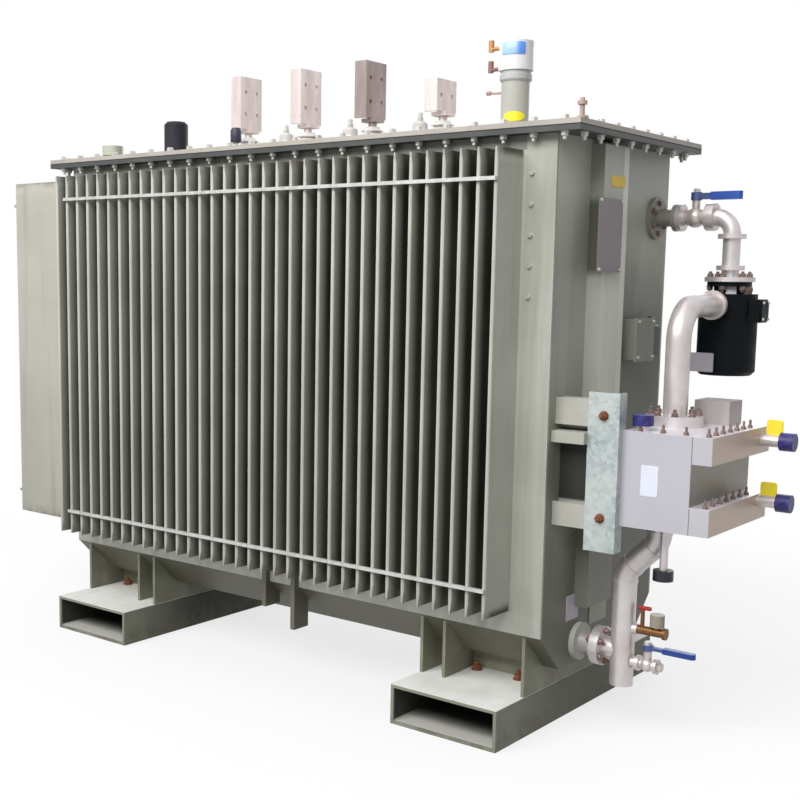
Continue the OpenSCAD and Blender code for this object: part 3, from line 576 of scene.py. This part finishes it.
def bent(radius, heading, width, height, thickness, oval=False):
    """Rings of a label bent around an upright cylinder, in mm and degrees: its section, a thin plate on
    edge, is carried along the arc, and its height follows an ellipse or a blunt-ended bar."""
    t = np.linspace(-1, 1, 19)[:, None]
    angle = math.radians(heading) + t * width / 2 / radius
    half = height / 2 * (np.sqrt(1 - 0.995 * t * t) if oval else 1 - 0.12 * t ** 12)
    out = np.array([-1, thickness - 0.5, thickness, thickness, thickness - 0.5, -1])
    up = np.array([-1, -1, -0.96, 0.96, 1, 1])
    reach = radius + out
    rings = np.stack([reach * np.cos(angle), reach * np.sin(angle), half * up], -1) / 1000
    return np.concatenate([rings[:1], rings, rings[-1:]])


def swept(path, radius):
    """Rings of a round bar in mm: a circle of each radius carried along the path, across its direction."""
    columns, aside = 10, [0.31, 0.87, 0.38]
    path = np.array(path, float) / 1000
    radius = np.broadcast_to(np.array(radius, float) / 1000, len(path))[:, None, None]
    ahead = np.gradient(path, axis=0)
    ahead /= np.linalg.norm(ahead, axis=1, keepdims=True)
    side = np.cross(ahead, aside)
    side /= np.linalg.norm(side, axis=1, keepdims=True)
    over = np.cross(ahead, side)
    angle = np.linspace(0, 2 * np.pi, columns, endpoint=False)[:, None]
    rings = path[:, None] + radius * (np.cos(angle) * side[:, None] + np.sin(angle) * over[:, None])
    return np.concatenate([rings[:1], rings, rings[-1:]])


def facing(axis):
    """Rows of local X, Y and Z for a shape that faces the axis: Y is up, or back if the axis is upright."""
    ahead = np.array(axis, float)
    over = np.array(BACK if abs(ahead[2]) > 0.5 else UP, float)
    return np.stack([np.cross(over, ahead), over, ahead])


def placed(rings, points, axis=UP):
    """Copies of the rings at the points, turned to face the axis."""
    return rings[None] @ facing(axis) + np.atleast_2d(points)[:, None, None, :]


def around(center, radius, count, axis):
    """Points on a bolt circle about the axis, its radius in mm, starting half a step round."""
    angle = 2 * np.pi * (np.arange(count) + 0.5) / count
    circle = np.stack([np.cos(angle), np.sin(angle), 0 * angle], 1)
    return center + radius / 1000 * circle @ facing(axis)


def row(start, end, count):
    """Points evenly spaced from start to end, both in mm from the tank's middle and the floor."""
    return np.linspace(at(*start), at(*end), count)


def bolts(points, axis, width, tail=0.0):
    """Washer, six-sided head and, where there is a tail, the end of its thread, in mm: each is a profile
    turned about the axis and sized by the head's width."""
    washer, washer_top = width * 0.66, width * 0.1
    corner, shoulder, crown, top = width * 0.577, width * 0.55, width * 0.48, width * 0.66
    parts = [turned([(0, -0.4), (washer, -0.4), (washer, washer_top), (0, washer_top)], 14),
             turned([(0, 0.2), (corner, 0.2), (corner, shoulder), (crown, top), (0, top)], 6)]
    if tail:
        thread, tip = width * 0.3, width * 0.22
        parts.append(turned([(0, 1), (thread, 1), (thread, tail - 1.5), (tip, tail), (0, tail)], 10))
    return [placed(part, points, axis) for part in parts]


def shells(rings):
    """Closed shells from rings of points: ring joined to ring, and both ends drawn to their middles."""
    copies, rows, columns = rings.shape[:3]
    points = np.concatenate([rings[:, 1:-1].reshape(copies, -1, 3), rings[:, [0, -1]].mean(2)], 1)
    index = np.arange((rows - 2) * columns).reshape(rows - 2, columns)
    after = np.roll(index, -1, 1)
    first = np.full(columns, index.size)
    last = first + 1
    quads = np.stack([index[:-1], after[:-1], after[1:], index[1:]], -1).reshape(-1, 4)
    fans = np.concatenate([np.stack([after[0], index[0], first], -1),
                           np.stack([index[-1], after[-1], last], -1)])
    step = points.shape[1] * np.arange(copies)[:, None, None]
    return points.reshape(-1, 3), (quads + step).reshape(-1, 4), (fans + step).reshape(-1, 3)


def add_piece(name, parts, material):
    """One object from the parts' closed shells, with its place in its mesh and its faces outward."""
    sharp_from = math.radians(32)
    points, faces, count = [], [], 0
    for part in parts:
        part_points, quads, fans = shells(part)
        points.append(part_points)
        faces += (quads + count).tolist() + (fans + count).tolist()
        count += len(part_points)
    mesh = bpy.data.meshes.new(name)
    mesh.from_pydata(np.concatenate(points).tolist(), [], faces)
    build = bmesh.new()
    build.from_mesh(mesh)
    bmesh.ops.recalc_face_normals(build, faces=build.faces)
    build.to_mesh(mesh)
    build.free()
    mesh.polygons.foreach_set("use_smooth", np.ones(len(mesh.polygons), bool))
    mesh.set_sharp_from_angle(angle=sharp_from)
    mesh.materials.append(material)
    piece = bpy.data.objects.new(name, mesh)
    scene.collection.objects.link(piece)
    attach(piece, ROOT)


def paint_nodes():
    """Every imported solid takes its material."""
    finishes = (
        (skid_paint(), "skid_left skid_right"),
        (tank_paint("foot_paint", (144, 145, 127), (122, 124, 107), 0.5), "foot_left foot_right"),
        # The bilge is darker and more olive than the walls as painted shade, since it faces down
        (tank_paint("bilge_shade_paint", (108, 107, 92), (86, 85, 71), 0.5), "tank_floor"),
        (tank_paint("tank_paint", (190, 191, 180), (174, 175, 164)), "lower_walls corner_posts"),
        # The upper walls are darker than the walls below as painted shade under the rim
        (tank_paint("upper_wall_shade_paint", (152, 154, 145), (130, 133, 124), 0.5), "upper_walls"),
        (end_wall_paint(), "right_end_wall"),
        # The rim's dark slate is painted shade under the cover's edge
        (tank_paint("rim_shade_paint", (76, 79, 78), (58, 61, 61), 0.3), "tank_rim"),
        (tank_paint("cover_paint", (190, 183, 174), (172, 165, 156), 0.2), "cover"),
        (gasket_rubber(), "cover_gasket"),
        (fin_paint("long_fin_paint", long_fin_depth, (202, 203, 192), (186, 187, 176)),
         "front_fin_wall back_fin_wall"),
        (fin_paint("end_fin_paint", end_fin_depth, (191, 188, 178), (179, 176, 166)), "left_fin_wall"),
        (galvanised_steel("tie_bar_zinc", (206, 206, 201), (184, 184, 179)), "fin_tie_bars"),
        (stiffener_paint(), "end_stiffener"),
        (plate_metal(), "rating_plate"),
        (tank_paint("sensor_box_paint", (152, 153, 142), (136, 137, 126)), "sensor_box"),
        (bracket_paint(), "bracket_arms"),
        (galvanised_steel("post_zinc", (190, 199, 198), (158, 170, 170)), "cooler_post"),
        (cooler_steel(), "cooler_body"),
        (cap_plastic(), "port_caps"),
        (tank_paint("monitor_paint", (182, 174, 172), (164, 156, 154)), "leak_monitor"),
        (tank_paint("nozzle_paint", (160, 157, 148), (136, 134, 126), 0.5), "outlet_nozzle"),
        (stainless_steel(), "cooler_nozzles outlet_valve suction_pipe discharge_pipe return_pipe "
                            "return_nozzle drain_valve"),
        (sampling_cock(), "sample_valve"),
        (pump_black(), "pump_volute pump_motor pump_terminal_box"),
        (lever_blue("outlet_lever", (44, 86, 180), (30, 66, 154)), "outlet_lever"),
        (lever_blue("drain_lever", (32, 68, 148), (22, 52, 124)), "drain_lever"),
        (porcelain(), "lv_insulators hv_bushings"),
        (tinned_copper(), "lv_flags"),
        (dark_epoxy(), "tap_changer"),
        (relay_white("relay_column", (192, 191, 183), (178, 177, 168)), "relay_column"),
        (relay_white("relay_head", (238, 238, 239), (230, 230, 231)), "relay_head"),
        (tank_paint("filler_paint", (196, 198, 184), (180, 182, 168)), "filler_cap"),
    )
    looks = {name: material for material, names in finishes for name in names.split()}
    for name, node in nodes.items():
        node.data.materials.clear()
        node.data.materials.append(looks[name])


def cover_fittings():
    """Cover bolts and their nuts, base screws, earth stud, thermometer pocket and the bushings' studs."""
    zinc = bolt_zinc("cover_bolt_zinc", (214, 212, 204), (176, 176, 170))
    long_x, long_y, end_x, end_y = 1210, 447, 1248, 390
    edge = np.concatenate([row((-long_x, -long_y, 0), (long_x, -long_y, 0), 23),
                           row((-long_x, long_y, 0), (long_x, long_y, 0), 23),
                           row((-end_x, -end_y, 0), (-end_x, end_y, 0), 8),
                           row((end_x, -end_y, 0), (end_x, end_y, 0), 8)])
    heads = bolts(edge + [0, 0, COVER_TOP / 1000], UP, 22)
    nuts = bolts(edge + [0, 0, RIM_UNDER / 1000], DOWN, 22, 26)
    add_piece("cover_bolts", heads + nuts, zinc)

    # Each base: its place, how high its flange stands, its bolt circle, and the screws' number and width
    bases = [(RELAY, 14, 60, 6, 11), (TAP_CHANGER, 12, 58, 6, 11)]
    bases += [((x, HV_Y), 14, 56, 4, 12) for x in HV_ROW]
    bases += [((x, 0), 14, 52, 4, 9) for x in LV_ROW]
    screws = []
    for place, rise, circle, count, width in bases:
        screws += bolts(around(at(*place, COVER_TOP + rise), circle, count, UP), UP, width)
    add_piece("base_screws", screws, zinc)

    stud = turned([(0, 0), (17, 0), (17, 6), (8, 7), (8, 40), (15, 41), (15, 52), (8, 53),
                   (7, 62), (0, 63)], 12)
    copper = blank_label("earth_stud_copper", (196, 172, 164), (168, 142, 134))
    add_piece("earth_stud", [placed(stud, at(1262, -438, COVER_TOP))], copper)

    place = at(-505, -110, COVER_TOP)
    stem = turned([(0, 0), (24, 0), (24, 8), (11, 9), (11, 64), (0, 64)], 16)
    white = blank_label("pocket_paint", (222, 220, 218), (205, 202, 200))
    add_piece("thermometer_pocket", [placed(stem, place)], white)
    cap = turned([(0, 62), (21, 62), (23, 66), (23, 112), (17, 122), (0, 124)], 18)
    violet = blank_label("pocket_cap", (58, 50, 74), (40, 34, 54))
    add_piece("thermometer_cap", [placed(cap, place)], violet)

    ends = np.array([at(x, HV_Y, 2175) for x in HV_ROW])
    stud = turned([(0, -2), (9, -2), (9, 34), (7, 36), (0, 36)], 12)
    add_piece("hv_terminals", [placed(stud, ends)] + bolts(ends, UP, 26), zinc)


def relay_fittings():
    """The relay's window, its groove ring, the oval yellow mark and a thin test lead stub."""
    window = bent(60, -72, 86, 42, 3)
    add_piece("relay_window", [placed(window, at(*RELAY, 2347))], window_glass())
    ring = turned([(0, 2238), (52, 2238), (57, 2245), (57, 2262), (53, 2266), (53, 2273), (58, 2276),
                   (0, 2277)], 32)
    grey = blank_label("relay_ring", (200, 202, 200), (168, 172, 170))
    add_piece("relay_ring", [placed(ring, at(*RELAY, 0))], grey)
    mark = bent(50, -63, 82, 34, 2, True)
    yellow = blank_label("relay_mark", (252, 242, 60), (240, 222, 40))
    add_piece("relay_mark", [placed(mark, at(*RELAY, 2115))], yellow)
    stub = swept([(0, 0, 0), (-30, 0, 0), (-52, 0, 2), (-56, 0, 3), (-70, 0, 3), (-72, 0, 3)],
                 [4, 4, 4, 8, 8, 5])
    pink = blank_label("relay_lead", (196, 162, 150), (160, 126, 116))
    add_piece("relay_lead", [placed(stub, at(748, RELAY[1], 2206))], pink)


def flange_fittings():
    """Bolt circles on the oil circuit's flange pairs, and studs along the cooler's headers."""
    zinc = bolt_zinc("flange_bolt_zinc", (150, 130, 124), (104, 84, 78))
    parts = bolts(around(at(1191, PUMP[1], 1770), 54, 6, RIGHT), RIGHT, 17)
    # Each flange: its face, its bolt circle, the bolts' number, axis and width, and the pair's thickness
    # where nuts show behind it
    for place, circle, count, axis, width, through in [
            ((*PUMP, 1561), 66, 6, UP, 20, 32),
            ((1281, -160, 300), 53, 6, RIGHT, 18, 32),
            ((1465, -100, 1109), 76, 8, UP, 20, 0),
            ((1460, -160, 747), 49, 6, DOWN, 12, 0)]:
        points = around(at(*place), circle, count, axis)
        parts += bolts(points, axis, width, width if through else width * 1.2)
        if through:
            parts += bolts(points - np.array(axis) * through / 1000, -np.array(axis), width, width)
    add_piece("flange_bolts", parts, zinc)

    end_x, front_y, back_y = 1672, -325, 20
    upper = row((end_x, front_y, UPPER_HEADER), (end_x, back_y, UPPER_HEADER), 7)
    front = row((1600, front_y, UPPER_HEADER), (1450, front_y, UPPER_HEADER), 3)
    lower = row((end_x, front_y, LOWER_HEADER), (end_x, back_y, LOWER_HEADER), 7)
    studs = bolts(np.concatenate([upper, front]), UP, 15, 26) + bolts(lower, UP, 15, 26)
    add_piece("cooler_studs", studs, zinc)


def wall_fittings():
    """Blank plates and small devices on the end wall, the stiffener, the cooler and the pump."""
    # Each plate: its name, width, height, thickness, place, the side it faces and its two tones
    for name, width, height, thickness, place, axis, light, shade in [
            ("stiffener_mark", 101, 36, 2, (1225, -92, 1872), RIGHT, (252, 216, 88), (238, 198, 68)),
            ("wall_plate_left", 86, 88, 3, (HALF_L, -208, 428), RIGHT, (196, 190, 202), (180, 174, 184)),
            ("wall_plate_right", 132, 100, 3, (HALF_L, -14, 388), RIGHT, (172, 178, 164), (156, 163, 148)),
            ("cooler_label", 58, 98, 2, (1498, -350, 920), FRONT, (234, 237, 248), (222, 226, 240))]:
        plate = placed(flat_plate(width, height, thickness), at(*place), axis)
        add_piece(name, [plate], blank_label(name, light, shade))

    tag = plated(54, 50, 9, [(0, -2), (0, -2), (0, 1), (1, 2), (4, 2), (4, 2)], 5)
    yellow = blank_label("port_tag", (252, 236, 66), (240, 212, 48))
    tags = placed(tag, [at(1735, 70, 1074), at(1727, 70, 868)], FRONT)
    add_piece("port_tags", [tags], yellow)

    badge = placed(flat_plate(101, 66, 4), at(1414, 207, 1266), FRONT)
    lug = plated(30, 40, 3, [(0, 0), (0, 0), (0, 26), (1, 27), (1, 27)])
    lilac = blank_label("motor_badge", (182, 177, 186), (164, 158, 166))
    add_piece("motor_badge", [badge, placed(lug, at(1436, 235, 1266), FRONT)], lilac)

    mark = bent(52, -62, 36, 34, 1.5)
    white = blank_label("volute_mark", (244, 238, 248), (230, 224, 236))
    add_piece("volute_mark", [placed(mark, at(*PUMP, 1514))], white)

    plug = plated(72, 118, 10, [(0, 0), (0, 0), (0, 48), (4, 56), (12, 58), (12, 62),
                            (20, 62), (20, 62)], 5)
    gland = turned([(0, -4), (16, -4), (16, 14), (12, 16), (12, 26), (9, 30), (0, 30)], 12)
    parts = [placed(plug, at(HALF_L, 243, 1330), RIGHT), placed(gland, at(1205, 255, 1388), UP)]
    dark = blank_label("dark_moulding", (56, 52, 56), (36, 34, 38))
    add_piece("sensor_plug", parts, dark)

    gland = turned([(0, -3), (21, -3), (21, 10), (17, 12), (17, 24), (19, 26), (19, 38),
                    (12, 44), (0, 45)], 14)
    brown = blank_label("gland_brown", (116, 92, 86), (84, 64, 60))
    add_piece("terminal_gland", [placed(gland, at(1532, 305, 1486), UP)], brown)
    lid = plated(67, 72, 6, [(0, -1), (0, -1), (0, 5), (2, 7), (8, 7), (8, 7)])
    enamel = nodes["pump_motor"].data.materials[0]
    add_piece("terminal_lid", [placed(lid, at(1592, 307, 1446), RIGHT)], enamel)


def small_bolts():
    """Rusted bolts of the feet and of the cooler's bracket, studs up the corner strips, and lid screws."""
    skid_top = 143
    rust = rusted_bolt()
    feet = [at(x, y, skid_top) for x in (-1042, -880, 830, 1003) for y in (-255, 255)]
    add_piece("foot_bolts", bolts(feet, UP, 30, 34), rust)
    arms = [at(1347, -375, z) for z in (1117, 785)]
    add_piece("bracket_bolts", bolts(arms, FRONT, 24, 24), rust)

    zinc = bolt_zinc("small_screw_zinc", (206, 206, 196), (180, 180, 170))
    screws = []
    for y, axis in ((-425, FRONT), (425, BACK)):
        screws += bolts(row((1088, y, 1883), (1088, y, 1489), 5), axis, 15)
    # The sensor box, the rating plate and the terminal box: X of the face, Y and Z of the screws, width
    for x, sides, heights, width in [(1245, (72, 188), (1278, 1402), 10),
                                     (1242, (-247, -93), (1580, 1804), 10),
                                     (1599, (282, 332), (1418, 1474), 8)]:
        screws += bolts([at(x, y, z) for y in sides for z in heights], RIGHT, width)
    add_piece("small_screws", screws, zinc)


def aim_camera():
    """Camera at the photographed angle: a place, a heading, a dip, a small roll and the frame's shift."""
    frame_px, focal_px, shift_px = 800, 1226.4, (84.6, 42.9)
    heading, dip, roll = (math.radians(angle) for angle in (39.354, 7.585, 0.628))
    data = bpy.data.cameras.new("camera")
    data.sensor_width = 36.0
    data.lens = focal_px / frame_px * data.sensor_width
    data.shift_x = shift_px[0] / frame_px
    data.shift_y = shift_px[1] / frame_px
    data.clip_end = 100
    camera = bpy.data.objects.new("camera", data)
    scene.collection.objects.link(camera)
    place = Matrix.Translation((tank_end + 1.923, -3.957, 1.537))
    turn = Matrix.Rotation(heading, 4, "Z") @ Matrix.Rotation(math.pi / 2 - dip, 4, "X")
    camera.matrix_world = place @ turn @ Matrix.Rotation(roll, 4, "Z")
    scene.camera = camera


def set_world():
    """A white surround for the camera, and a dimmer, bluish sky that lights the object."""
    world = bpy.data.worlds.new("studio")
    world.use_nodes = True
    scene.world = world
    graph = Graph(world.node_tree)
    sky = graph.tree.nodes["Background"]
    sky.inputs["Color"].default_value = (0.94, 0.97, 1.0, 1)
    sky.inputs["Strength"].default_value = 0.36
    white = graph.add("ShaderNodeBackground", {}, {"Color": (1, 1, 1, 1)})
    inputs = {0: graph.shown(), 1: Wire(graph, sky.outputs[0]), 2: white}
    surface = graph.add("ShaderNodeMixShader", {}, inputs)
    graph.set(graph.tree.nodes["World Output"].inputs["Surface"], surface)


def lay_floor():
    """A pale floor that keeps the shadow near the object and fades to the white surround farther out."""
    half, fade_from, fade = 40.0, 3.2, 1.2
    mesh = bpy.data.meshes.new("floor")
    corners = [(-half, -half, 0), (half, -half, 0), (half, half, 0), (-half, half, 0)]
    mesh.from_pydata(corners, [], [(0, 1, 2, 3)])
    floor = bpy.data.objects.new("floor", mesh)
    scene.collection.objects.link(floor)
    s = Shader("floor")
    shown = s.shown()
    reach = s.add("ShaderNodeVectorMath", {"operation": "LENGTH"}, {0: s.place}, "Value")
    far = shown * (0.72 + 0.28 * reach.above(fade_from, fade))
    s.finish(Base_Color=s.mix(shown, (0.26, 0.26, 0.25, 1), (0.9, 0.9, 0.9, 1)), Roughness=0.8)
    glow = s.add("ShaderNodeEmission", {}, {"Color": (1, 1, 1, 1), "Strength": 1.0})
    inputs = {0: far, 1: Wire(s, s.surface.outputs[0]), 2: glow}
    surface = s.add("ShaderNodeMixShader", {}, inputs)
    s.set(s.tree.nodes["Material Output"].inputs["Surface"], surface)
    mesh.materials.append(s.material)


def set_lamps():
    """A wide, strong key lamp in front, a weak one above, and a middling one that lifts the back."""
    aim = Vector((0, 0, 1))
    for name, place, width, height, power in (("key", (0.1, -6.8, 6.6), 9, 4, 850),
                                              ("top", (-0.4, -1.2, 9.0), 6, 5, 90),
                                              ("back", (-1.6, 7.4, 4.2), 8, 4, 300)):
        data = bpy.data.lights.new(name, "AREA")
        data.shape = "RECTANGLE"
        data.size = width
        data.size_y = height
        data.energy = power
        lamp = bpy.data.objects.new(name, data)
        lamp.location = place
        lamp.rotation_euler = (aim - Vector(place)).to_track_quat("-Z", "Y").to_euler()
        scene.collection.objects.link(lamp)
    scene.view_settings.view_transform = "Standard"


paint_nodes()
cover_fittings()
relay_fittings()
flange_fittings()
wall_fittings()
small_bolts()
aim_camera()
set_world()
lay_floor()
set_lamps()
